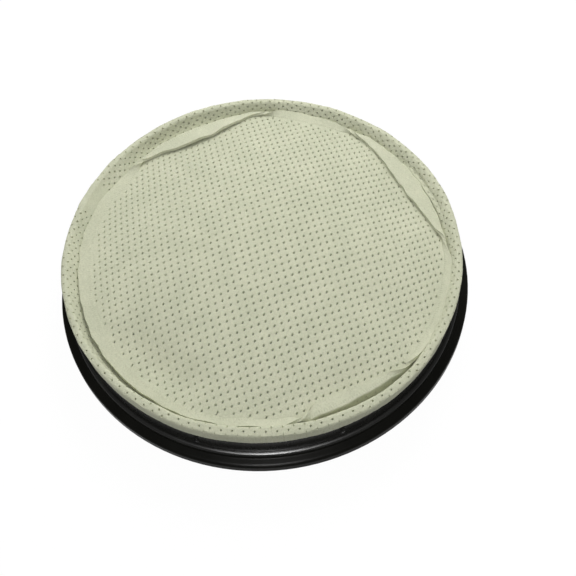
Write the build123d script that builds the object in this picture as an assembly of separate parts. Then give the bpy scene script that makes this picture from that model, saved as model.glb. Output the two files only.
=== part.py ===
"""Round cloth filter for a tub vacuum cleaner, lying flange down.

A black moulded ring carries a felt cup.  The hem of the felt is trapped between the ring's
spigot and a grooved clamp ring.  The side band rolls over at the top and tucks in under a domed
felt disc, to which it is welded a strip's width in from the disc's edge.  The slack edge lies
folded over in three places and is drawn in, away from the roll, in two.

Frame: origin at the middle of the resting plane, +Z up along the ring's axis.  Millimetres.
"""
from build123d import *
from math import cos, degrees, pi, radians, sin, sqrt, tan
import os

# Moulded base ring
RING_OUTER_R = 152.5        # outer edge of the flange, a 305 mm ring
FLANGE_EDGE = 7.0           # height of the flange at its outer edge
FLANGE_WIDTH = 6.0          # top of the flange, from the edge to the shoulder
FLANGE_RISE = 1.2           # climb of that top towards the shoulder
SHOULDER_WIDTH = 3.2        # step on which the clamp ring stands
SHOULDER_HEIGHT = 3.8
SPIGOT_HEIGHT = 12.0        # inner wall above the shoulder
MOULDED_WALL = 2.4
EDGE_ROUND = 2.0            # outer edge of the flange
SHOULDER_ROUND = 1.6
SMALL_ROUND = 0.5
ROUND_FLAT = 1.3            # rounded edges are cut into flats of about this width

# Clamp ring
CLAMP_WALL = 1.6
CLAMP_HEIGHT = 15.0
GROOVE_COUNT = 9
GROOVE_WIDTH = 3.0
GROOVE_DEPTH = 1.0
GROOVE_FLOOR = 3.0          # plain wall left below a groove
GROOVE_ANGLE = -110.9       # azimuth of the first groove

# Felt
FELT = 1.6                  # thickness
WALL_BULGE = 2.9            # how far the side band swells beyond its hem
WALL_RISE = 11.8            # from the clamp ring's top to the middle of the roll
ROLL_RADIUS = 5.5           # bend of the roll at the felt's middle
TUCK_DEPTH = 5.0            # inner wall between the roll and the crease of the tuck
WELD_STRIP = 10.0           # width of the disc's welded edge strip
DOME_HEIGHT = 7.1           # crown of the disc's curve above the middle of the roll
DOME_RADIUS = 1300.0        # curvature of the disc
DOME_FLATS = 2              # level middle and cones that make up the dome
EDGE_CLEARANCE = 0.3        # from the disc's edge to the roll, and from the tuck to the disc
ROLL_FLATS = 4              # cones that make up half a turn of the roll

# Lap joint of the side band
LAP_WIDTH = 22.0
LAP_STEP = 0.8              # thickness that shows of the second layer
LAP_FLAT_COUNT = 3          # cones of the roll on which the lap shows
LAP_ANGLE = 150.5           # azimuth of the lap's first edge

# Edge of the disc: azimuth of the middle of each stretch, and how far it reaches in from the edge
FOLDS = ((111.0, 14.0), (26.8, 9.5), (-66.0, 6.5))
DRAWN_IN = ((-62.0, 2.5), (-134.0, 2.5))
FOLD_THICKNESS = 2.0
FOLD_EDGE_R = 400.0         # curve of a fold's free edge
FOLD_SINK = 0.3             # pressed into the disc by the weld

# Heights and radii that follow
shoulder_z = FLANGE_EDGE + FLANGE_RISE + SHOULDER_HEIGHT
flange_inner_r = RING_OUTER_R - FLANGE_WIDTH
clamp_outer_r = flange_inner_r - SHOULDER_WIDTH
clamp_inner_r = clamp_outer_r - CLAMP_WALL
clamp_top_z = shoulder_z + CLAMP_HEIGHT
spigot_outer_r = clamp_inner_r - FELT
spigot_inner_r = spigot_outer_r - MOULDED_WALL
spigot_top_z = shoulder_z + SPIGOT_HEIGHT
hem_r = spigot_outer_r + FELT / 2
roll_z = clamp_top_z + WALL_RISE
wall_r = hem_r + WALL_BULGE
roll_r = wall_r - ROLL_RADIUS
tuck_z = roll_z - TUCK_DEPTH
disc_r = roll_r - ROLL_RADIUS - FELT / 2 - EDGE_CLEARANCE
weld_r = disc_r - WELD_STRIP
crown_z = roll_z + DOME_HEIGHT


def section(corners):
    """Closed section in the radius-height plane; each corner is (radius, height, rounding)."""
    points = []
    for index, (r, z, rounding) in enumerate(corners):
        corner = Vector(r, z)
        if not rounding:
            points.append(corner)
            continue
        before = Vector(*corners[index - 1][:2]) - corner
        after = Vector(*corners[(index + 1) % len(corners)][:2]) - corner
        points += round_off(corner, before.normalized(), after.normalized(), rounding)
    return make_face(Polyline(*points, close=True))


def round_off(corner, before, after, rounding):
    """Points of a rounded corner between its two sides, as a few flats."""
    half = radians(before.get_angle(after)) / 2
    sweep = pi - 2 * half
    centre = corner + (before + after).normalized() * (rounding / sin(half))
    first = corner + before * (rounding / tan(half)) - centre
    last = corner + after * (rounding / tan(half)) - centre
    steps = max(1, round(rounding * sweep / ROUND_FLAT))
    turns = [sweep * step / steps for step in range(steps + 1)]
    return [centre + (first * sin(sweep - turn) + last * sin(turn)) / sin(sweep) for turn in turns]


def spin(face, turn=360.0):
    """Turn a section about the ring's axis, starting at the +X side."""
    return revolve(Plane.XZ * face, axis=Axis.Z, revolution_arc=turn)


def make_base_ring():
    """Flange with a channel below it, a rounded shoulder and the spigot that carries the felt."""
    flange_top = FLANGE_EDGE + FLANGE_RISE
    lip_inner_r = RING_OUTER_R - MOULDED_WALL
    draft = SHOULDER_ROUND / 2
    shoulder_r = flange_inner_r - draft
    return spin(section((
        (RING_OUTER_R, 0, 0),
        (RING_OUTER_R, FLANGE_EDGE, EDGE_ROUND),
        (flange_inner_r, flange_top, 0),
        (shoulder_r, shoulder_z, SHOULDER_ROUND),
        (spigot_outer_r, shoulder_z, 0),
        (spigot_outer_r, spigot_top_z, 0),
        (spigot_inner_r, spigot_top_z, 0),
        (spigot_inner_r, 0, 0),
        (spigot_outer_r, 0, 0),
        (spigot_outer_r, shoulder_z - MOULDED_WALL, 0),
        (lip_inner_r, FLANGE_EDGE - MOULDED_WALL, 0),
        (lip_inner_r, 0, 0),
    )))


def make_clamp_ring():
    """Thin collar round the hem, grooved from the top so that it can spring over it."""
    collar = spin(section((
        (clamp_inner_r, shoulder_z, 0),
        (clamp_outer_r, shoulder_z, 0),
        (clamp_outer_r, clamp_top_z, SMALL_ROUND),
        (clamp_inner_r, clamp_top_z, 0),
    )))
    upwards = (Align.CENTER, Align.CENTER, Align.MIN)
    groove = Box(2 * GROOVE_DEPTH, GROOVE_WIDTH, CLAMP_HEIGHT, align=upwards)
    place = Pos(clamp_outer_r, 0, shoulder_z + GROOVE_FLOOR)
    for index in range(GROOVE_COUNT):
        collar -= Rot(Z=GROOVE_ANGLE + 360.0 * index / GROOVE_COUNT) * place * groove
    return collar


def wall_and_roll(offset, flats):
    """Felt in section from the clamp ring's top over some flats of the roll, moved outwards by offset."""
    points = [(hem_r + offset, clamp_top_z)]
    for step in range(flats + 1):
        turn = pi * step / ROLL_FLATS
        radius = ROLL_RADIUS + offset
        points.append((roll_r + radius * cos(turn), roll_z + radius * sin(turn)))
    return points


def band_path(offset):
    """Whole side band in section: hem, leaning wall, roll, inner wall and the tuck to the weld."""
    hem_end = (hem_r + offset, shoulder_z)
    crease = (roll_r - ROLL_RADIUS - offset, tuck_z + offset)
    (near_r, near_z), (far_r, far_z) = disc_path(-FELT / 2)[-2:]
    disc_under = near_z + (far_z - near_z) * (weld_r - near_r) / (far_r - near_r)
    weld = (weld_r, disc_under - EDGE_CLEARANCE - FELT / 2 + offset)
    return [hem_end, *wall_and_roll(offset, ROLL_FLATS), crease, weld]


def lap_path(offset):
    """Stretch of the side band on which the lap's second layer shows."""
    return wall_and_roll(offset, LAP_FLAT_COUNT)


def dome_z(r, offset):
    """Height of the dome at radius r, moved upwards by offset."""
    return crown_z - DOME_RADIUS + sqrt((DOME_RADIUS + offset) ** 2 - r ** 2)


def disc_path(offset):
    """Domed disc in section, moved upwards by offset: a level middle, then cones out to its edge."""
    radii = [disc_r * (2 * step + 1) / (2 * DOME_FLATS - 1) for step in range(DOME_FLATS)]
    cones = [(r, dome_z(r, offset)) for r in radii]
    return [(0, cones[0][1]), *cones]


def felt_section(path, low, high):
    """Face between two offsets of one path."""
    return make_face(Polyline(*path(low), *reversed(path(high)), close=True))


def make_side_band():
    """Felt strip bent into a ring, with its two ends lapped."""
    band = spin(felt_section(band_path, -FELT / 2, FELT / 2))
    lap = spin(felt_section(lap_path, 0, FELT / 2 + LAP_STEP), degrees(LAP_WIDTH / wall_r))
    return band + Rot(Z=LAP_ANGLE) * lap


def make_filter_disc():
    """Domed felt disc with folds lying on it, drawn in at two stretches of its edge."""
    top = FELT / 2
    disc = spin(felt_section(disc_path, -top, top))
    layer = spin(felt_section(disc_path, top - FOLD_SINK, top + FOLD_THICKNESS))
    height = 4 * (DOME_HEIGHT + FELT)
    for azimuth, depth in FOLDS:
        inside = Pos(disc_r - depth - FOLD_EDGE_R, 0, roll_z) * Cylinder(FOLD_EDGE_R, height)
        disc += layer - Rot(Z=azimuth) * inside
    to_outside = (Align.MIN, Align.CENTER, Align.CENTER)
    for azimuth, depth in DRAWN_IN:
        beyond = Pos(disc_r - depth, 0, roll_z) * Box(2 * depth, disc_r, height, align=to_outside)
        disc -= Rot(Z=azimuth) * beyond
    return disc


PIECES = {
    "base_ring": make_base_ring,
    "clamp_ring": make_clamp_ring,
    "side_band": make_side_band,
    "filter_disc": make_filter_disc,
}

os.makedirs("parts", exist_ok=True)
for name, make in PIECES.items():
    solid = make()
    solid.label = name
    export_step(solid, f"parts/{name}.step")
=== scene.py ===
"""Round cloth filter on a black moulded ring: its felt, finishes, light and camera.

The felt pieces are meshes with real pinholes.  Lengths are millimetres until a mesh is made.
Azimuths are degrees about the ring's axis: 0 along +X, -90 towards the camera.
"""

import math

import bpy
import numpy as np
from mathutils import Matrix, Vector


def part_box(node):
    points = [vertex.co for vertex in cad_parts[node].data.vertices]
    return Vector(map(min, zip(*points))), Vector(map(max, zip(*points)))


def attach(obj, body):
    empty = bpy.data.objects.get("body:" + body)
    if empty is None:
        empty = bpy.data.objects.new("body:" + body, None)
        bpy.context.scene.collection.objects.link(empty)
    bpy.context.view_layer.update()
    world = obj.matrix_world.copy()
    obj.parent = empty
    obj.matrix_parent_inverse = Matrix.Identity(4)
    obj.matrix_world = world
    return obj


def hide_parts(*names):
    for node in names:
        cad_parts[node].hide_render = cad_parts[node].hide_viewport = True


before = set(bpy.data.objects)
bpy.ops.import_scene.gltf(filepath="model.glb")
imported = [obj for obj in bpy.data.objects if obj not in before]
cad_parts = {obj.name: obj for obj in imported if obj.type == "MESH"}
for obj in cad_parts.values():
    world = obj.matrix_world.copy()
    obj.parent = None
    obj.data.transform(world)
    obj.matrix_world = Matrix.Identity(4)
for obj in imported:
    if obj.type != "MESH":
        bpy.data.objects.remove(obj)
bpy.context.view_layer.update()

MM = 0.001

# Sizes taken from the frame
clamp_low, clamp_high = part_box("clamp_ring")
band_low, band_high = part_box("side_band")
_, disc_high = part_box("filter_disc")
clamp_r = clamp_high.x / MM
clamp_top = clamp_high.z / MM
hem_low = band_low.z / MM
band_r = band_high.x / MM
CROWN_RISE = 0.35           # of the felt's dome above the solid's level middle
crown = disc_high.z / MM + CROWN_RISE

# Felt
FELT = 1.6
HEM_GAP = 0.06              # keeps the hem off the two mouldings that grip it
CLAMP_WALL = 1.6
CELL = 4                    # steps of the mesh across the cell of one pinhole
PINHOLE_R = 0.74            # at the face that shows; a needle's hole narrows inwards
PINHOLE_LOW_R = 0.36        # at the other face
PINHOLE_STRETCH = 1.4       # of the disc's pinholes across the grid's cells
PINHOLE_DIP = 0.22          # how far the felt is drawn in at the edge of a pinhole
SHARP = 55                  # degrees: sharper edges of the perforated felt aren't smoothed

# Welded strip: two layers of felt, pressed together
WELD_THICKNESS = 2.2
WELD_SHARP = 50             # degrees, as SHARP
WELD_DASHES = 480           # marks of the welding tool beside the seam
WELD_DASH_RISE = 0.2
DASH_COLUMNS = 5            # columns of the mesh from one mark to the next
DASH_RAISED = 2             # of those, on the mark
STRIP_STEPS = 10            # steps of the mesh across it
HINGE_STEPS = 5             # and round its edge at the seam
RAW_EDGE = np.array((0.2, 0.5, 0.8))    # vertices on the raw edge, as shares of the thickness
RAW_HOLLOW = 0.3            # between the two layers
FRAY = 0.16                 # unevenness of the raw edge
RIPPLE = 0.25               # of the strip's height at the raw edge
RIPPLE_COLUMNS = 90         # columns over which that is smoothed

# Disc: a slightly skew grid of pinholes, turned against the frame
GRID_ORIGIN = np.array((0.9, -20.3))
GRID_A = np.array((-4.81, -1.59))
GRID_B = np.array((0.93, -5.13))
GRID_CELLS = 78             # in either direction
GRID_MIDDLE = np.array((0.0, -45.0))    # where the felt is stretched most
GRID_STRETCH = np.array((1.04, 1.06))   # of the grid there
GRID_CLOSING = 0.07         # share by which it closes up at GRID_REACH
GRID_CLOSING_Y = 0.6        # of that, for the closing up of y with y
GRID_REACH = 130.0
GRID_WARP = 1.1             # unevenness of the grid
GRID_WARP_LENGTH = 46.0
GRID_WARP_SECOND = 0.6      # second wave of the unevenness, against the first
GRID_WARP_X = (0.7, 0.6, 2.1)   # pace of the second wave, and the phases of both
GRID_WARP_Y = (0.8, 1.9, 0.3)
PINHOLE_EDGE = 1.1          # clear felt between the last pinholes and the seam
DOME_RADIUS = 1300.0
DOME_STEP = 0.5             # over which the dome's slope is taken
# Hollows in the disc: x, y, depth and radius
HOLLOWS = (
    (-80.0, -84.0, 3.4, 25.0),
    (-91.8, -69.2, 2.8, 11.0),
    (-75.4, -86.8, 3.4, 11.0),
    (-55.8, -100.6, 3.0, 11.0),
    (100.0, 34.0, 2.4, 26.0),
    (84.0, -52.0, 2.2, 24.0),
    (-84.0, 66.0, 1.4, 26.0),
    (22.0, 96.0, 1.2, 24.0),
    (33.0, -117.0, 1.5, 7.5),
    (49.0, -112.0, 1.5, 7.5),
    (64.0, -105.0, 1.3, 7.5),
)

# Side band: staggered pinholes in rows round the ring
BAND_COLUMNS = 122          # pinholes in a row
BAND_ROWS = 15
BAND_DIP = 0.04             # as PINHOLE_DIP: the band is pulled tighter
CORNER_PINHOLE = 0.45       # size of the pinholes on the rim's outer corner, against the others
LAP = (150.5, 159.5)        # stretch of plain felt where the band's ends are joined
LAP_MARGIN = 0.6            # degrees without pinholes beside it
LAP_STEP = 0.25
LAP_START = 0.1             # share of the section at which the step begins
LAP_FADE = 10               # parts of the section, of which the step takes one to rise
# Waves of the band: rise, count round the ring, turn along the section, phase
BAND_WAVES = ((0.12, 19, 9, 0.0), (0.10, 37, -6, 1.3))
WAVE_FADE = 6               # as LAP_FADE

# Crumples on the inner wall beside the fold at the right: a ridge with a trough, and puckers.
# Places and widths are shares of the section.
CRUMPLE_AZIMUTH = 20
CRUMPLE_SPREAD = 11         # degrees
CRUMPLE_RISE = 1.3
RIDGE_PLACE = 0.80
RIDGE_DRIFT = 0.0012        # of that place with each degree
RIDGE_WIDTH = 0.03
TROUGH_DEPTH = 0.7          # against the ridge
TROUGH_APART = 0.07
PUCKER_RISE = 0.35          # against the ridge
PUCKER_COUNT = 29           # round the ring
PUCKER_TURN = 15            # along the section
PUCKER_PLACE = 0.72
PUCKER_WIDTH = 0.1
# Edge of the cup by azimuth: radius of the seam, turn of the welded strip (0 lies outwards, 90
# stands up, 180 lies inwards on the disc), width of the strip, slant of the band's inner wall
# below the horizontal, crest height
EDGE = (
    (-174, 122.5, -3, 10.0, 58, 44.6),
    (-166, 124.0, -2, 8.8, 66, 44.6),
    (-158, 124.6, 2, 9.2, 72, 44.5),
    (-150, 124.6, 6, 9.8, 82, 44.4),
    (-140, 126.2, 9, 8.7, 88, 44.2),
    (-131, 126.6, 10, 8.3, 89, 44.0),
    (-124, 128.6, 10, 7.0, 89, 43.9),
    (-120, 130.0, 11, 6.2, 88, 43.8),
    (-116, 131.0, 13, 6.4, 88, 43.8),
    (-109, 131.6, 15, 6.2, 87, 43.6),
    (-96, 131.4, 17, 6.6, 86, 43.5),
    (-86, 132.0, 17, 6.4, 86, 43.5),
    (-83, 132.8, 30, 4.0, 86, 43.5),
    (-81, 135.2, 100, 2.4, 86, 43.5),
    (-79, 136.8, 170, 5.6, 87, 43.5),
    (-76, 135.5, 183, 8.6, 88, 43.6),
    (-71, 134.5, 184, 9.4, 88, 43.6),
    (-64, 134.5, 184, 8.6, 88, 43.7),
    (-58, 135.1, 183, 6.4, 88, 43.8),
    (-53, 135.7, 180, 4.0, 87, 43.9),
    (-49, 136.0, 120, 2.0, 84, 44.0),
    (-46, 135.4, 40, 2.4, 74, 44.0),
    (-41, 133.8, 18, 5.6, 60, 44.1),
    (-30, 132.4, 14, 6.6, 52, 44.3),
    (-20, 131.4, 12, 6.8, 47, 44.5),
    (-10, 131.2, 12, 6.2, 45, 44.6),
    (-4, 131.2, 30, 3.0, 45, 44.6),
    (-1, 131.6, 100, 2.0, 45, 44.6),
    (2, 131.8, 172, 3.6, 40, 44.6),
    (6, 131.3, 175, 6.6, 38, 44.7),
    (10, 130.9, 175, 8.8, 37, 44.7),
    (20, 130.6, 176, 12.6, 36, 44.7),
    (30, 130.6, 176, 12.6, 36, 44.6),
    (40, 130.0, 175, 7.6, 37, 44.5),
    (47, 129.8, 176, 5.0, 38, 44.4),
    (51, 128.8, 160, 2.4, 39, 44.3),
    (54, 127.0, 80, 1.2, 42, 44.3),
    (57, 125.0, 10, 5.0, 42, 44.3),
    (62, 124.4, 3, 6.6, 42, 44.3),
    (70, 124.6, 3, 7.8, 42, 44.3),
    (77, 125.2, 3, 8.0, 42, 44.3),
    (82, 127.0, 10, 5.6, 43, 44.3),
    (85, 129.0, 80, 1.4, 50, 44.4),
    (88, 130.2, 165, 2.0, 52, 44.5),
    (92, 129.8, 172, 3.6, 54, 44.6),
    (96, 128.2, 170, 6.8, 57, 44.7),
    (101, 127.0, 168, 10.3, 59, 44.8),
    (108, 125.8, 168, 13.2, 60, 44.8),
    (116, 126.0, 169, 13.6, 70, 44.8),
    (123, 126.6, 170, 10.8, 72, 44.8),
    (129, 126.6, 173, 5.0, 68, 44.8),
    (133, 126.2, 165, 3.0, 62, 44.8),
    (135.5, 124.4, 90, 2.4, 60, 44.8),
    (138, 121.0, 10, 6.4, 57, 44.8),
    (142, 119.2, -2, 9.2, 54, 44.8),
    (149, 120.2, -2, 9.8, 56, 44.8),
    (158, 122.0, -3, 9.8, 55, 44.8),
    (166, 123.0, -3, 9.4, 56, 44.7),
)
EDGE_BLUR = 1.2             # degrees over which one row of that table runs into the next
SEAM, TURN, WIDTH, SLANT, CREST = range(1, 6)   # columns of that table

# Unevenness: amplitude, and the shortest and the longest wave in degrees
SEAM_WAVES = (0.25, 6, 40)
TURN_WAVES = (1.2, 8, 40)
CREST_WAVES = (0.2, 15, 90)
WALL_WAVES = (0.18, 30, 120)

# Rim of the cup: a flattened roll, drawn out in front and in at the back
WALL_INSET = 0.5            # of the felt's outer wall, against the solid's
KNEE_REACH = 0.6            # share of the wall's swelling that lies over the clamp ring's top
KNEE_RISE = 2.6             # above that top
KNEE_LEADS = (2.0, 1.7)     # how far the felt runs straight up from that top and up to the knee
OUTER_BEND = 0.35           # radius, as the next
INNER_BEND = 1.4
TOP_FLAT = 2.1
FRONT_FLAT = 2.2            # added to that in front
FRONT_POWER = 4             # the higher, the shorter the stretch with that
TOP_SLOPE = 9.0             # degrees
RIM_REACH = (
    (-170, 0.3), (-150, 0.6), (-110, 1.3), (-75, 2.1), (-55, 2.8), (-35, 1.4),
    (-10, 0.0), (0, -0.2), (20, -1.0), (50, -2.0), (100, -1.8), (140, -1.7), (165, -0.7),
)
RIM_BLUR = 6.0              # degrees, as EDGE_BLUR

# Tuck, from the rim down to the seam; pairs are outwards and upwards
TUCK_DROP = 9.5             # how far the inner wall keeps to its slant
STEEP_DROP = 3.0            # added to that where it is nearly upright
STEEP_POWER = 12            # the higher, the nearer to upright
TUCK_LEAD = np.array((4.5, -4.2))       # from the seam towards where the band comes from
FOLDED_LEAD = np.array((-4.0, -3.3))    # added to that where the strip is folded over
TUCK_DEPTH = 0.7            # share of the weld's thickness at which the band meets it

# Camera, fitted to the ring's and the cloth's outlines, in millimetres and degrees
CAMERA_LENS = 60.0
CAMERA_SENSOR = 36.0
CAMERA_NEAR = 0.01          # metres
CAMERA_ELEVATION = 58.804
CAMERA_ROLL = 4.292
CAMERA_DISTANCE = 729.0
CAMERA_SIDE = -17.505
CAMERA_LIFT = 7.716

# Floor and light, in metres.  The floor is plain white as seen, apart from the shaded ground
# under the cup, and darker for the light that it throws back.
FLOOR_HALF = 3.0
FLOOR_DROP = 0.0002         # below the resting plane
FLOOR_MATT = 0.3
FLOOR_GLOW = 1.15
FLOOR_WHITE = 0.84          # share of the glow in what is seen
FLOOR_DARK_R = 0.145
AMBIENT = 0.57

# Finish of the mouldings, in metres
FLANGE_EDGE = 0.0088        # the ring is dull below this
SHOULDER = 0.0100           # and has its full gloss above this
JOINT = clamp_low.z         # where the clamp ring stands on the shoulder
JOINT_SHADE_HALF = 0.0003         # half the height of the dull line above that, where the gloss is taken off: a painted shade for the parting line
EDGE_SOFTENING = 0.0014     # rounds the flats of the moulded edges in their shading
BEVEL_SAMPLES = 6
PLASTIC_TONES = ((0.0, (0.0075, 0.0075, 0.0061, 1)), (1.0, (0.0118, 0.0119, 0.0097, 1)))

# Finish of the felt: places on a ramp with their colours
FELT_TONES = ((0.3, (0.545, 0.560, 0.405, 1)), (0.7, (0.680, 0.690, 0.520, 1)))
FELT_BLOTCHES = ((0.35, (0.93, 0.94, 0.93, 1)), (0.65, (1.0, 1.0, 1.0, 1)))
MATTED_SCALE = 0.8          # of the matted tufts, against the fibres
COLOUR_A, COLOUR_B, COLOUR_RESULT = 6, 7, 2     # sockets of a Mix node that mixes colours

SEED = 7
rng = np.random.default_rng(SEED)
hem_r = clamp_r - CLAMP_WALL - FELT / 2


# Curves round the ring

FINE_STEP = 0.25
FINE = np.arange(0.0, 360.0, FINE_STEP)


def blur_round(values, sigma):
    """Smooth values given at FINE with a Gaussian of sigma degrees, round the full turn."""
    waves = np.fft.rfftfreq(len(FINE), d=FINE_STEP)
    fading = np.exp(-2 * (math.pi * sigma * waves) ** 2)
    return np.fft.irfft(np.fft.rfft(values) * fading, len(FINE))


def edge_curve(table, column, blur):
    """One column of a table by azimuth as a smooth curve at FINE."""
    azimuths = [row[0] for row in table]
    values = [row[column] for row in table]
    return blur_round(np.interp(FINE, azimuths, values, period=360.0), blur)


def at(curve, azimuth):
    return np.interp(azimuth, FINE, curve, period=360.0)


def wavy(amplitude, shortest, longest):
    """A gently uneven curve at FINE, with waves between those two lengths in degrees."""
    total = np.zeros_like(FINE)
    for waves in range(round(360 / longest), round(360 / shortest) + 1):
        total += rng.normal() * np.cos(np.radians(waves * FINE) + rng.uniform(0, 2 * math.pi))
    return total * amplitude / total.std()


seam_curve = edge_curve(EDGE, SEAM, EDGE_BLUR) + wavy(*SEAM_WAVES)
turn_curve = edge_curve(EDGE, TURN, EDGE_BLUR) + wavy(*TURN_WAVES)
width_curve = edge_curve(EDGE, WIDTH, EDGE_BLUR)
slant_curve = edge_curve(EDGE, SLANT, EDGE_BLUR)
crest_curve = edge_curve(EDGE, CREST, EDGE_BLUR) + wavy(*CREST_WAVES)
reach_curve = edge_curve(RIM_REACH, 1, RIM_BLUR)
wall_curve = band_r - FELT / 2 - WALL_INSET + reach_curve + wavy(*WALL_WAVES)
in_front = np.clip(-np.sin(np.radians(FINE)), 0, 1)
flat_curve = TOP_FLAT + FRONT_FLAT * in_front ** FRONT_POWER


# Meshes

def open_edges(quads, count):
    """Edges with a quad on one side only, in a mesh of count vertices."""
    edges = np.vstack([quads[:, [k, (k + 1) % 4]] for k in range(4)]).astype(np.int64)
    forward = edges[:, 0] * count + edges[:, 1]
    backward = edges[:, 1] * count + edges[:, 0]
    return edges[~np.isin(forward, backward)]


def thicken(upper, lower, quads):
    """Closed sheet from its two skins, with walls along every open edge."""
    count = len(upper)
    rim = open_edges(quads, count)
    walls = np.column_stack([rim[:, 1], rim[:, 0], rim[:, 0] + count, rim[:, 1] + count])
    return np.vstack([upper, lower]), np.vstack([quads, quads[:, ::-1] + count, walls])


def make_piece(name, points, quads, sharp, material):
    """Mesh object from millimetre points, smooth except along edges sharper than sharp degrees."""
    mesh = bpy.data.meshes.new(name)
    mesh.vertices.add(len(points))
    mesh.vertices.foreach_set("co", (points * MM).astype(np.float32).ravel())
    mesh.loops.add(quads.size)
    mesh.loops.foreach_set("vertex_index", quads.astype(np.int32).ravel())
    mesh.polygons.add(len(quads))
    mesh.polygons.foreach_set("loop_start", np.arange(0, quads.size, 4, dtype=np.int32))
    mesh.update(calc_edges=True)
    mesh.validate()
    mesh.polygons.foreach_set("use_smooth", np.ones(len(mesh.polygons), dtype=bool))
    mesh.set_sharp_from_angle(angle=math.radians(sharp))
    mesh.materials.append(material)
    piece = bpy.data.objects.new(name, mesh)
    bpy.context.scene.collection.objects.link(piece)
    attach(piece, "root")
    return piece


def drop_unused(upper, lower, quads):
    used, index = np.unique(quads, return_inverse=True)
    return upper[used], lower[used], index.reshape(quads.shape)


def bored_quads(shape, u, v):
    """Marks the four quads round each of the vertices u, v."""
    marks = np.zeros(shape, dtype=bool)
    for du in (-1, 0):
        for dv in (-1, 0):
            marks[u + du, v + dv] = True
    return marks


# Quarter-cell steps from a cell's middle to the eight vertices round its pinhole
RING = np.array([(-1, -1), (0, -1), (1, -1), (1, 0), (1, 1), (0, 1), (-1, 1), (-1, 0)])
RING_TURN = RING / np.hypot(RING[:, 0], RING[:, 1])[:, None]


# Disc

def dome(x, y):
    """Height of the disc's upper face."""
    height = crown - (x ** 2 + y ** 2) / (2 * DOME_RADIUS)
    for hx, hy, depth, radius in HOLLOWS:
        height = height - depth * np.exp(-((x - hx) ** 2 + (y - hy) ** 2) / (2 * radius ** 2))
    return height


def dome_normals(x, y):
    """Unit normals of the disc's upper face."""
    step = DOME_STEP
    slope_x = (dome(x + step, y) - dome(x - step, y)) / (2 * step)
    slope_y = (dome(x, y + step) - dome(x, y - step)) / (2 * step)
    normals = np.column_stack([-slope_x, -slope_y, np.ones_like(slope_x)])
    return normals / np.linalg.norm(normals, axis=1)[:, None]


def disc_skin(x, y, depth):
    """Points at a depth under the disc's upper face."""
    return np.column_stack([x, y, dome(x, y)]) - dome_normals(x, y) * depth


def grid_warp(along, across, wave):
    """Unevenness of the grid along one direction, as two waves."""
    pace, first_phase, second_phase = wave
    first = np.sin(across / GRID_WARP_LENGTH + first_phase)
    return first + GRID_WARP_SECOND * np.sin(along / GRID_WARP_LENGTH * pace + second_phase)


def grid_place(i, j):
    """Place in the plane of grid coordinates i, j, with the felt's stretch and unevenness."""
    x = GRID_ORIGIN[0] + i * GRID_A[0] + j * GRID_B[0]
    y = GRID_ORIGIN[1] + i * GRID_A[1] + j * GRID_B[1]
    from_x = GRID_STRETCH[0] * (x - GRID_MIDDLE[0])
    from_y = GRID_STRETCH[1] * (y - GRID_MIDDLE[1])
    share_x, share_y = (from_x / GRID_REACH) ** 2, (from_y / GRID_REACH) ** 2
    x = GRID_MIDDLE[0] + from_x * (1 - GRID_CLOSING * (share_x + share_y))
    y = GRID_MIDDLE[1] + from_y * (1 - GRID_CLOSING * (share_x + GRID_CLOSING_Y * share_y))
    warp_x, warp_y = grid_warp(x, y, GRID_WARP_X), grid_warp(y, x, GRID_WARP_Y)
    return x + GRID_WARP * warp_x, y + GRID_WARP * warp_y


def make_disc(material):
    """Felt disc out to the seam, with a pinhole in the middle of every grid cell."""
    lines = CELL * GRID_CELLS + 1
    step = np.arange(lines) / CELL - GRID_CELLS / 2
    grid_i, grid_j = np.meshgrid(step, step, indexing="ij")
    index = np.arange(lines * lines).reshape(lines, lines)
    quads = np.stack([index[:-1, :-1], index[1:, :-1], index[1:, 1:], index[:-1, 1:]], -1)

    middles = np.arange(GRID_CELLS) * CELL + CELL // 2
    cell_i, cell_j = (c.ravel() for c in np.meshgrid(middles, middles, indexing="ij"))
    hole_x, hole_y = grid_place(step[cell_i], step[cell_j])
    hole_az = np.degrees(np.arctan2(hole_y, hole_x))
    clear = np.hypot(hole_x, hole_y) < at(seam_curve, hole_az) - PINHOLE_EDGE
    cell_i, cell_j = cell_i[clear], cell_j[clear]

    half = np.full(index.shape, FELT / 2)
    pitch_i, pitch_j = np.linalg.norm(GRID_A), np.linalg.norm(GRID_B)
    low_i, low_j = grid_i.copy(), grid_j.copy()
    skins = ((grid_i, grid_j, PINHOLE_R), (low_i, low_j, PINHOLE_LOW_R))
    for (di, dj), turn in zip(RING, RING_TURN):
        ti, tj = turn + (PINHOLE_STRETCH - 1) * turn.mean()
        vertex = (cell_i + di, cell_j + dj)
        for skin_i, skin_j, radius in skins:
            skin_i[vertex] = step[cell_i] + ti * radius / pitch_i
            skin_j[vertex] = step[cell_j] + tj * radius / pitch_j
        half[vertex] -= PINHOLE_DIP

    # Quads with half of their corners inside the seam stay, and their rim is drawn onto it
    low_x, low_y = (c.ravel() for c in grid_place(low_i, low_j))
    x, y = (c.ravel() for c in grid_place(grid_i, grid_j))
    reach = np.hypot(x, y)
    seam = at(seam_curve, np.degrees(np.arctan2(y, x)))
    inside = (reach < seam).reshape(index.shape)
    corners = [inside[:-1, :-1], inside[1:, :-1], inside[1:, 1:], inside[:-1, 1:]]
    open_quad = bored_quads(quads.shape[:2], cell_i, cell_j)
    kept = quads[(np.sum(corners, axis=0) >= 2) & ~open_quad]
    rim = np.unique(open_edges(kept, index.size))
    rim = rim[reach[rim] > seam[rim] - PINHOLE_R]
    x[rim] *= seam[rim] / reach[rim]
    y[rim] *= seam[rim] / reach[rim]
    low_x[rim], low_y[rim] = x[rim], y[rim]

    half = half.ravel()[:, None]
    upper = disc_skin(x, y, FELT / 2 - half)
    lower = disc_skin(low_x, low_y, FELT / 2 + half)
    points, faces = thicken(*drop_unused(upper, lower, kept))
    return make_piece("filter_cloth", points, faces, SHARP, material)


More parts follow.
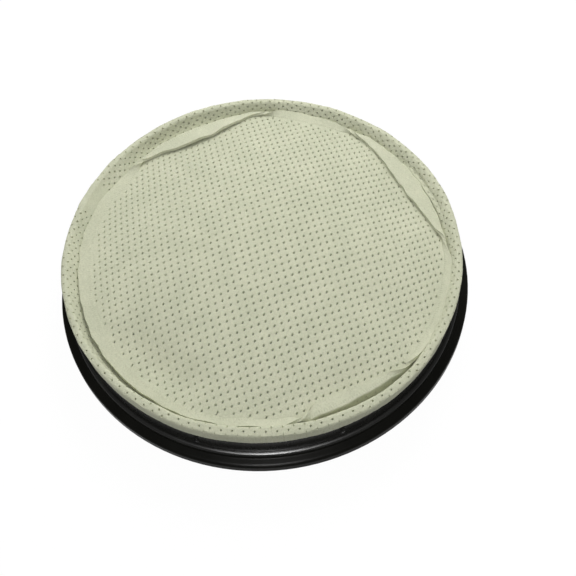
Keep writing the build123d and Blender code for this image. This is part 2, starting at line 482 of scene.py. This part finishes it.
# Side band

def bezier(corners, count):
    """Points of a cubic Bezier curve from its four control points."""
    t = np.linspace(0, 1, count)[:, None]
    a, b, c, d = (np.asarray(corner, dtype=float) for corner in corners)
    return (1 - t) ** 3 * a + 3 * (1 - t) ** 2 * t * b + 3 * (1 - t) * t ** 2 * c + t ** 3 * d


def arc(centre, radius, turns):
    """Points of an arc in section."""
    return centre + radius * np.column_stack([np.cos(turns), np.sin(turns)])


def hump(offset, width):
    """Smooth hump of that width, 1 in its middle."""
    return np.exp(-(offset / width) ** 2)


def band_section(azimuth):
    """Middle line of the side band in section at one azimuth, from the clamp ring's top to the seam."""
    wall = at(wall_curve, azimuth)
    crest = at(crest_curve, azimuth)
    seam = at(seam_curve, azimuth)
    turn = math.radians(at(turn_curve, azimuth))
    slant = math.radians(at(slant_curve, azimuth))
    slope = math.radians(TOP_SLOPE)
    flat = at(flat_curve, azimuth)
    up = np.array((math.sin(slope), math.cos(slope)))
    to_inside = np.array((-math.cos(slope), math.sin(slope)))
    rise = OUTER_BEND * up[1] + flat * to_inside[1] + INNER_BEND * (1 - up[1])
    outer = np.array((wall - OUTER_BEND, crest - FELT / 2 - rise))
    inner = outer + (OUTER_BEND - INNER_BEND) * up + flat * to_inside

    knee = np.array((hem_r + KNEE_REACH * (wall - hem_r), clamp_top + KNEE_RISE))
    above_clamp = (hem_r, clamp_top + KNEE_LEADS[0])
    below_knee = knee - (0, KNEE_LEADS[1])
    over_clamp = bezier(((hem_r, clamp_top), above_clamp, below_knee, knee), count=12)
    lower = np.vstack([over_clamp, np.linspace(knee, (wall, outer[1]), num=16)[1:]])
    top_turn = math.pi / 2 - slope
    roll = np.vstack([
        arc(outer, OUTER_BEND, np.linspace(0, top_turn, num=10)[1:]),
        arc(inner, INNER_BEND, np.linspace(top_turn, math.pi / 2 + slant, num=20)),
    ])

    rad = math.radians(azimuth)
    seam_top = float(dome(seam * math.cos(rad), seam * math.sin(rad)))
    sink = TUCK_DEPTH * WELD_THICKNESS
    end = np.array((seam + sink * math.sin(turn), seam_top - sink * math.cos(turn)))
    folded = math.sin(turn / 2) ** 2
    start = roll[-1]
    drop = TUCK_DROP + STEEP_DROP * math.sin(slant) ** STEEP_POWER
    below_rim = start + drop * np.array((-math.cos(slant), -math.sin(slant)))
    before_seam = end + (TUCK_LEAD + folded * FOLDED_LEAD)
    tuck = bezier((start, below_rim, before_seam, end), count=30)[1:]
    return np.vstack([lower, roll, tuck])


def band_bulge(azimuths, share):
    """Unevenness of the band by azimuth and share of its section, none of it at the hem."""
    angle = np.radians(azimuths)[:, None]
    waves = sum(rise * np.sin(count * angle + along * share + phase)
                for rise, count, along, phase in BAND_WAVES)
    waves = waves * np.clip(share * WAVE_FADE, 0, 1)
    from_fold = azimuths[:, None] - CRUMPLE_AZIMUTH
    from_ridge = share - (RIDGE_PLACE + RIDGE_DRIFT * from_fold)
    crumple = hump(from_ridge, RIDGE_WIDTH) - TROUGH_DEPTH * hump(from_ridge + TROUGH_APART, RIDGE_WIDTH)
    puckers = np.sin(angle * PUCKER_COUNT + share * PUCKER_TURN)
    crumple = crumple + PUCKER_RISE * puckers * hump(share - PUCKER_PLACE, PUCKER_WIDTH)
    in_lap = ((azimuths > LAP[0]) & (azimuths < LAP[1]))[:, None]
    lap = LAP_STEP * in_lap * np.clip((share - LAP_START) * LAP_FADE, 0, 1)
    return waves + CRUMPLE_RISE * hump(from_fold, CRUMPLE_SPREAD) * crumple + lap


def make_band(material):
    """Felt band: hem, swelling wall, roll and tuck, with staggered pinholes."""
    columns = CELL * BAND_COLUMNS
    rows = CELL * BAND_ROWS + 1
    azimuths = 360.0 * np.arange(columns) / columns
    hem = np.array([(hem_r, hem_low + HEM_GAP), (hem_r, (hem_low + clamp_top) / 2)])
    section = np.zeros((columns, rows + len(hem), 2))
    for k, azimuth in enumerate(azimuths):
        line = band_section(azimuth)
        run = np.concatenate([[0], np.cumsum(np.linalg.norm(np.diff(line, axis=0), axis=1))])
        even = np.linspace(0, run[-1], rows)
        section[k, :len(hem)] = hem
        section[k, len(hem):, 0] = np.interp(even, run, line[:, 0])
        section[k, len(hem):, 1] = np.interp(even, run, line[:, 1])

    along = np.gradient(section, axis=1)
    outward = np.stack([along[..., 1], -along[..., 0]], -1)
    outward /= np.linalg.norm(outward, axis=-1)[..., None]
    share = np.clip((np.arange(section.shape[1]) - len(hem)) / (rows - 1), 0, 1)
    section = section + outward * band_bulge(azimuths, share)[..., None]

    angle = np.radians(azimuths)[:, None]
    cos, sin = np.cos(angle), np.sin(angle)
    r, z = section[..., 0], section[..., 1]
    grid = np.stack([r * cos, r * sin, z], -1)
    lift = np.stack([outward[..., 0] * cos, outward[..., 0] * sin, outward[..., 1]], -1)
    half = np.full(r.shape, FELT / 2)
    half[:, :len(hem) + 1] -= HEM_GAP

    index = np.arange(r.size).reshape(r.shape)
    after = np.roll(index, -1, axis=0)
    quads = np.stack([index[:, :-1], after[:, :-1], after[:, 1:], index[:, 1:]], -1)

    cell_u, cell_v = np.meshgrid(np.arange(BAND_COLUMNS), np.arange(BAND_ROWS), indexing="ij")
    staggered = cell_v % 2 * CELL // 2
    middle_u = (cell_u * CELL + CELL // 2 + staggered) % columns
    centre_az = azimuths[middle_u]
    near_lap = (centre_az > LAP[0] - LAP_MARGIN) & (centre_az < LAP[1] + LAP_MARGIN)
    plain = near_lap | (cell_v >= BAND_ROWS - 1)
    mid_u = middle_u[~plain]
    mid_v = cell_v[~plain] * CELL + CELL // 2 + len(hem)

    low_grid = grid.copy()
    centre = grid[mid_u, mid_v].copy()
    right = grid[(mid_u + 1) % columns, mid_v] - grid[mid_u - 1, mid_v]
    up = grid[mid_u, mid_v + 1] - grid[mid_u, mid_v - 1]
    right /= np.linalg.norm(right, axis=-1)[:, None]
    up /= np.linalg.norm(up, axis=-1)[:, None]
    outermost = np.argmax(r, axis=1)[mid_u]
    on_corner = np.abs(outermost - mid_v) <= 1
    share_left = np.where(on_corner, CORNER_PINHOLE, 1.0)[:, None]
    for (du, dv), (tu, tv) in zip(RING, RING_TURN):
        vertex = ((mid_u + du) % columns, mid_v + dv)
        for skin, radius in ((grid, PINHOLE_R), (low_grid, PINHOLE_LOW_R)):
            target = centre + radius * share_left * (tu * right + tv * up)
            keep_height = ((skin[vertex] - target) * lift[mid_u, mid_v]).sum(-1)
            skin[vertex] = target + keep_height[:, None] * lift[mid_u, mid_v]
        half[vertex] -= np.where(on_corner, 0.0, BAND_DIP)

    kept = quads[~bored_quads(quads.shape[:2], mid_u, mid_v)]
    offset = lift * half[..., None]
    upper, lower = (grid + offset).reshape(-1, 3), (low_grid - offset).reshape(-1, 3)
    points, faces = thicken(*drop_unused(upper, lower, kept))
    return make_piece("side_cloth", points, faces, SHARP, material)


# Welded strip

def make_strip(material):
    """Two welded layers of felt along the seam, turned by azimuth, with a raw outer edge."""
    columns = DASH_COLUMNS * WELD_DASHES
    azimuths = 360.0 * np.arange(columns) / columns
    seam = at(seam_curve, azimuths)
    turn = np.radians(at(turn_curve, azimuths))
    width = at(width_curve, azimuths)
    rad = np.radians(azimuths)
    seam_top = dome(seam * np.cos(rad), seam * np.sin(rad))

    face = np.linspace(0, 1, STRIP_STEPS + 1)
    hinge = np.linspace(0, math.pi, HINGE_STEPS + 1)[1:-1]
    fray = rng.normal(0, FRAY, (columns, len(RAW_EDGE) + 2))
    fray = fray / 2 + (np.roll(fray, 1, axis=0) + np.roll(fray, -1, axis=0)) / 4
    noise = rng.normal(0, 1, columns)
    three_turns = np.concatenate([noise, noise, noise])
    smoothed = np.convolve(three_turns, np.hanning(RIPPLE_COLUMNS), "same")
    ripple = smoothed[columns:2 * columns]
    ripple = RIPPLE * ripple / ripple.std()

    loops = []
    thickness = WELD_THICKNESS
    for k in range(columns):
        lift = ripple[k] * face ** 2
        lift[1:3] += WELD_DASH_RISE if k % DASH_COLUMNS < DASH_RAISED else 0.0
        top = np.column_stack([face * width[k], lift])
        raw = np.column_stack([np.full(len(RAW_EDGE), width[k]), -thickness * RAW_EDGE + ripple[k]])
        raw[1, 0] -= RAW_HOLLOW
        low = np.column_stack([face[::-1] * width[k], lift[::-1] - thickness])
        back = -thickness / 2 * np.column_stack([np.sin(hinge), 1 + np.cos(hinge)])
        top[-1, 0] += fray[k, 0]
        raw[:, 0] += fray[k, 1:-1]
        low[0, 0] += fray[k, -1]
        loops.append(np.vstack([top, raw, low, back]))
    loops = np.array(loops)
    s, h = loops[..., 0], loops[..., 1]
    cos, sin = np.cos(turn)[:, None], np.sin(turn)[:, None]
    r = seam[:, None] + s * cos - h * sin
    z = seam_top[:, None] + s * sin + h * cos
    points = np.stack([r * np.cos(rad)[:, None], r * np.sin(rad)[:, None], z], -1).reshape(-1, 3)
    index = np.arange(r.size).reshape(r.shape)
    after = np.roll(index, -1, axis=0)
    quads = np.stack([index, np.roll(index, -1, axis=1), np.roll(after, -1, axis=1), after], -1)
    return make_piece("welded_strip", points, quads.reshape(-1, 4), WELD_SHARP, material)


# Finishes

def add_nodes(tree, kinds):
    """New nodes of a tree by name."""
    return {name: tree.nodes.new(kind) for name, kind in kinds.items()}


def set_inputs(node, values):
    for socket, value in values.items():
        node.inputs[socket].default_value = value


def set_ramp(node, stops):
    """Set the two stops of a colour ramp, each a place and a colour."""
    for element, (place, colour) in zip(node.color_ramp.elements, stops):
        element.position = place
        element.color = colour


def wire(tree, made, links):
    """Join sockets: each link is a node, its output, another node and its input."""
    for source, output, target, entry in links:
        tree.links.new(made[source].outputs[output], made[target].inputs[entry])


def felt_material(name, fibre_scale):
    """Pale greenish needle felt: matted fibres, slight blotches and a dull, soft sheen."""
    material = bpy.data.materials.new(name)
    material.use_nodes = True
    tree = material.node_tree
    made = add_nodes(tree, {
        "place": "ShaderNodeTexCoord", "fibres": "ShaderNodeTexNoise", "blotch": "ShaderNodeTexNoise",
        "matted": "ShaderNodeTexVoronoi", "tone": "ShaderNodeValToRGB", "shade": "ShaderNodeValToRGB",
        "colour": "ShaderNodeMix", "height": "ShaderNodeMath", "bump": "ShaderNodeBump",
    })
    made["shader"] = tree.nodes["Principled BSDF"]
    made["colour"].data_type = "RGBA"
    made["colour"].blend_type = "MULTIPLY"
    made["height"].operation = "ADD"
    set_ramp(made["tone"], FELT_TONES)
    set_ramp(made["shade"], FELT_BLOTCHES)
    set_inputs(made["fibres"], {"Scale": fibre_scale, "Detail": 6.0, "Distortion": 1.6})
    set_inputs(made["blotch"], {"Scale": 45.0, "Detail": 3.0})
    set_inputs(made["matted"], {"Scale": fibre_scale * MATTED_SCALE})
    set_inputs(made["colour"], {"Factor": 1.0})
    set_inputs(made["bump"], {"Strength": 0.35, "Distance": 0.0004})
    set_inputs(made["shader"], {
        "Roughness": 0.95, "Specular IOR Level": 0.1, "Sheen Weight": 0.12, "Sheen Roughness": 0.5,
    })
    wire(tree, made, (
        ("place", "Object", "fibres", "Vector"),
        ("place", "Object", "blotch", "Vector"),
        ("place", "Object", "matted", "Vector"),
        ("fibres", "Fac", "tone", "Fac"),
        ("blotch", "Fac", "shade", "Fac"),
        ("tone", "Color", "colour", COLOUR_A),
        ("shade", "Color", "colour", COLOUR_B),
        ("colour", COLOUR_RESULT, "shader", "Base Color"),
        ("fibres", "Fac", "height", 0),
        ("matted", "Distance", "height", 1),
        ("height", "Value", "bump", "Height"),
        ("bump", "Normal", "shader", "Normal"),
    ))
    return material


def plastic_material():
    """Black moulded plastic: a dull flange, a soft gloss that varies a little above it, and a painted
    shade line at the joint.
    """
    material = bpy.data.materials.new("black_plastic")
    material.use_nodes = True
    tree = material.node_tree
    made = add_nodes(tree, {
        "place": "ShaderNodeTexCoord", "cloud": "ShaderNodeTexNoise", "grain": "ShaderNodeTexNoise",
        "gloss": "ShaderNodeMapRange", "tone": "ShaderNodeValToRGB", "bump": "ShaderNodeBump",
        "part": "ShaderNodeSeparateXYZ", "shine": "ShaderNodeMapRange", "rounding": "ShaderNodeBevel",
        "at_joint": "ShaderNodeMath", "joint_shade": "ShaderNodeMapRange", "sheen": "ShaderNodeMath",
    })
    made["shader"] = tree.nodes["Principled BSDF"]
    made["rounding"].samples = BEVEL_SAMPLES
    made["at_joint"].operation = "COMPARE"
    made["sheen"].operation = "MULTIPLY"
    set_ramp(made["tone"], PLASTIC_TONES)
    set_inputs(made["rounding"], {"Radius": EDGE_SOFTENING})
    set_inputs(made["shine"], {
        "From Min": FLANGE_EDGE, "From Max": SHOULDER, "To Min": 0.014, "To Max": 0.15,
    })
    # Painted shade: the gloss is taken off a thin line just above the joint, so that it reads dark like
    # shade in the parting line.
    set_inputs(made["at_joint"], {1: JOINT + JOINT_SHADE_HALF, 2: JOINT_SHADE_HALF})
    set_inputs(made["joint_shade"], {"To Min": 1.0, "To Max": 0.03})
    set_inputs(made["cloud"], {"Scale": 70.0, "Detail": 4.0})
    set_inputs(made["grain"], {"Scale": 1800.0, "Detail": 2.0})
    set_inputs(made["gloss"], {"To Min": 0.23, "To Max": 0.31})
    set_inputs(made["bump"], {"Strength": 0.06, "Distance": 0.0002})
    wire(tree, made, (
        ("place", "Object", "part", "Vector"),
        ("place", "Object", "cloud", "Vector"),
        ("place", "Object", "grain", "Vector"),
        ("part", "Z", "shine", "Value"),
        ("part", "Z", "at_joint", 0),
        ("at_joint", "Value", "joint_shade", "Value"),
        ("shine", "Result", "sheen", 0),
        ("joint_shade", "Result", "sheen", 1),
        ("sheen", "Value", "shader", "Specular IOR Level"),
        ("cloud", "Fac", "gloss", "Value"),
        ("gloss", "Result", "shader", "Roughness"),
        ("cloud", "Fac", "tone", "Fac"),
        ("tone", "Color", "shader", "Base Color"),
        ("rounding", "Normal", "bump", "Normal"),
        ("grain", "Fac", "bump", "Height"),
        ("bump", "Normal", "shader", "Normal"),
    ))
    return material


# Stage

def make_floor():
    """White ground as seen, a duller one for the light that only reaches the object."""
    half = FLOOR_HALF
    corners = [(-half, -half, 0), (half, -half, 0), (half, half, 0), (-half, half, 0)]
    mesh = bpy.data.meshes.new("floor")
    mesh.from_pydata(corners, [], [(0, 1, 2, 3)])
    floor = bpy.data.objects.new("floor", mesh)
    floor.location.z = -FLOOR_DROP
    bpy.context.scene.collection.objects.link(floor)
    material = bpy.data.materials.new("pale_floor")
    material.use_nodes = True
    tree = material.node_tree
    tree.nodes.clear()
    made = add_nodes(tree, {
        "path": "ShaderNodeLightPath", "seen": "ShaderNodeMath", "shown": "ShaderNodeMath",
        "place": "ShaderNodeTexCoord", "reach": "ShaderNodeVectorMath", "beyond": "ShaderNodeMath",
        "outside": "ShaderNodeMath", "share": "ShaderNodeMath", "matt": "ShaderNodeBsdfDiffuse",
        "white": "ShaderNodeEmission", "mix": "ShaderNodeMixShader",
        "output": "ShaderNodeOutputMaterial",
    })
    made["seen"].operation = "MAXIMUM"
    made["shown"].operation = "MAXIMUM"
    made["reach"].operation = "LENGTH"
    made["beyond"].operation = "GREATER_THAN"
    made["outside"].operation = "MULTIPLY"
    made["share"].operation = "MULTIPLY"
    set_inputs(made["matt"], {"Color": (FLOOR_MATT, FLOOR_MATT, FLOOR_MATT, 1)})
    set_inputs(made["white"], {"Strength": FLOOR_GLOW})
    set_inputs(made["beyond"], {1: FLOOR_DARK_R})
    set_inputs(made["outside"], {1: FLOOR_WHITE})
    wire(tree, made, (
        ("path", "Is Camera Ray", "seen", 0),
        ("path", "Is Glossy Ray", "seen", 1),
        ("seen", "Value", "shown", 0),
        ("path", "Is Transmission Ray", "shown", 1),
        ("place", "Object", "reach", 0),
        ("reach", "Value", "beyond", 0),
        ("beyond", "Value", "outside", 0),
        ("shown", "Value", "share", 0),
        ("outside", "Value", "share", 1),
        ("share", "Value", "mix", "Fac"),
        ("matt", "BSDF", "mix", 1),
        ("white", "Emission", "mix", 2),
        ("mix", "Shader", "output", "Surface"),
    ))
    mesh.materials.append(material)


def make_world():
    """Even light from all sides, and plain white where the camera sees past the floor."""
    world = bpy.data.worlds.new("studio")
    bpy.context.scene.world = world
    world.use_nodes = True
    tree = world.node_tree
    tree.nodes.clear()
    made = add_nodes(tree, {
        "path": "ShaderNodeLightPath", "ambient": "ShaderNodeBackground",
        "white": "ShaderNodeBackground", "mix": "ShaderNodeMixShader", "output": "ShaderNodeOutputWorld",
    })
    set_inputs(made["ambient"], {"Color": (1, 1, 1, 1), "Strength": AMBIENT})
    set_inputs(made["white"], {"Color": (1, 1, 1, 1), "Strength": 1.0})
    wire(tree, made, (
        ("path", "Is Camera Ray", "mix", "Fac"),
        ("ambient", "Background", "mix", 1),
        ("white", "Background", "mix", 2),
        ("mix", "Shader", "output", "Surface"),
    ))


def make_lamp(name, place, aim, size, power):
    """Soft lamp of size (across, high) at place, turned towards aim, in metres."""
    lamp = bpy.data.lights.new(name, "AREA")
    lamp.shape = "RECTANGLE"
    lamp.size, lamp.size_y = size
    lamp.energy = power
    holder = bpy.data.objects.new(name, lamp)
    holder.location = place
    holder.rotation_euler = (Vector(aim) - Vector(place)).to_track_quat("-Z", "Y").to_euler()
    bpy.context.scene.collection.objects.link(holder)
    return holder


def make_camera():
    """Camera at the photograph's viewing angle."""
    elevation = math.radians(CAMERA_ELEVATION)
    roll = math.radians(CAMERA_ROLL)
    right = Vector((1, 0, 0))
    ahead = Vector((0, math.cos(elevation), -math.sin(elevation)))
    up = Vector((0, math.sin(elevation), math.cos(elevation)))
    place = -ahead * CAMERA_DISTANCE - right * CAMERA_SIDE - up * CAMERA_LIFT
    across = right * math.cos(roll) - up * math.sin(roll)
    upright = right * math.sin(roll) + up * math.cos(roll)
    camera = bpy.data.cameras.new("camera")
    camera.lens = CAMERA_LENS
    camera.sensor_width = CAMERA_SENSOR
    camera.clip_start = CAMERA_NEAR
    holder = bpy.data.objects.new("camera", camera)
    turn = Matrix((across, upright, -ahead)).transposed()
    holder.matrix_world = Matrix.Translation(place * MM) @ turn.to_4x4()
    bpy.context.scene.collection.objects.link(holder)
    bpy.context.scene.camera = holder


# The object

PERFORATED_FIBRES = 900.0           # fineness of the fibres
WELDED_FIBRES = 700.0

perforated_felt = felt_material("perforated_felt", PERFORATED_FIBRES)
welded_felt = felt_material("welded_felt", WELDED_FIBRES)
black_plastic = plastic_material()

disc = make_disc(perforated_felt)
band = make_band(perforated_felt)
strip = make_strip(welded_felt)
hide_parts("filter_disc")
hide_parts("side_band")
for node in ("base_ring", "clamp_ring"):
    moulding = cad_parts[node]
    moulding.data.materials.clear()
    moulding.data.materials.append(black_plastic)

make_floor()
make_world()
make_lamp("key_lamp", place=(0.20, 0.66, 0.78), aim=(0, 0, 0.03), size=(0.4, 0.4), power=5.6)
gleam = make_lamp("front_lamp", place=(-0.06, -0.62, 1.2), aim=(0, -0.14, 0.01), size=(0.18, 0.5),
                  power=74.0)
gleam.visible_diffuse = False       # it only makes the gleam on the ring and the collar
make_camera()
bpy.context.scene.view_settings.view_transform = "Standard"
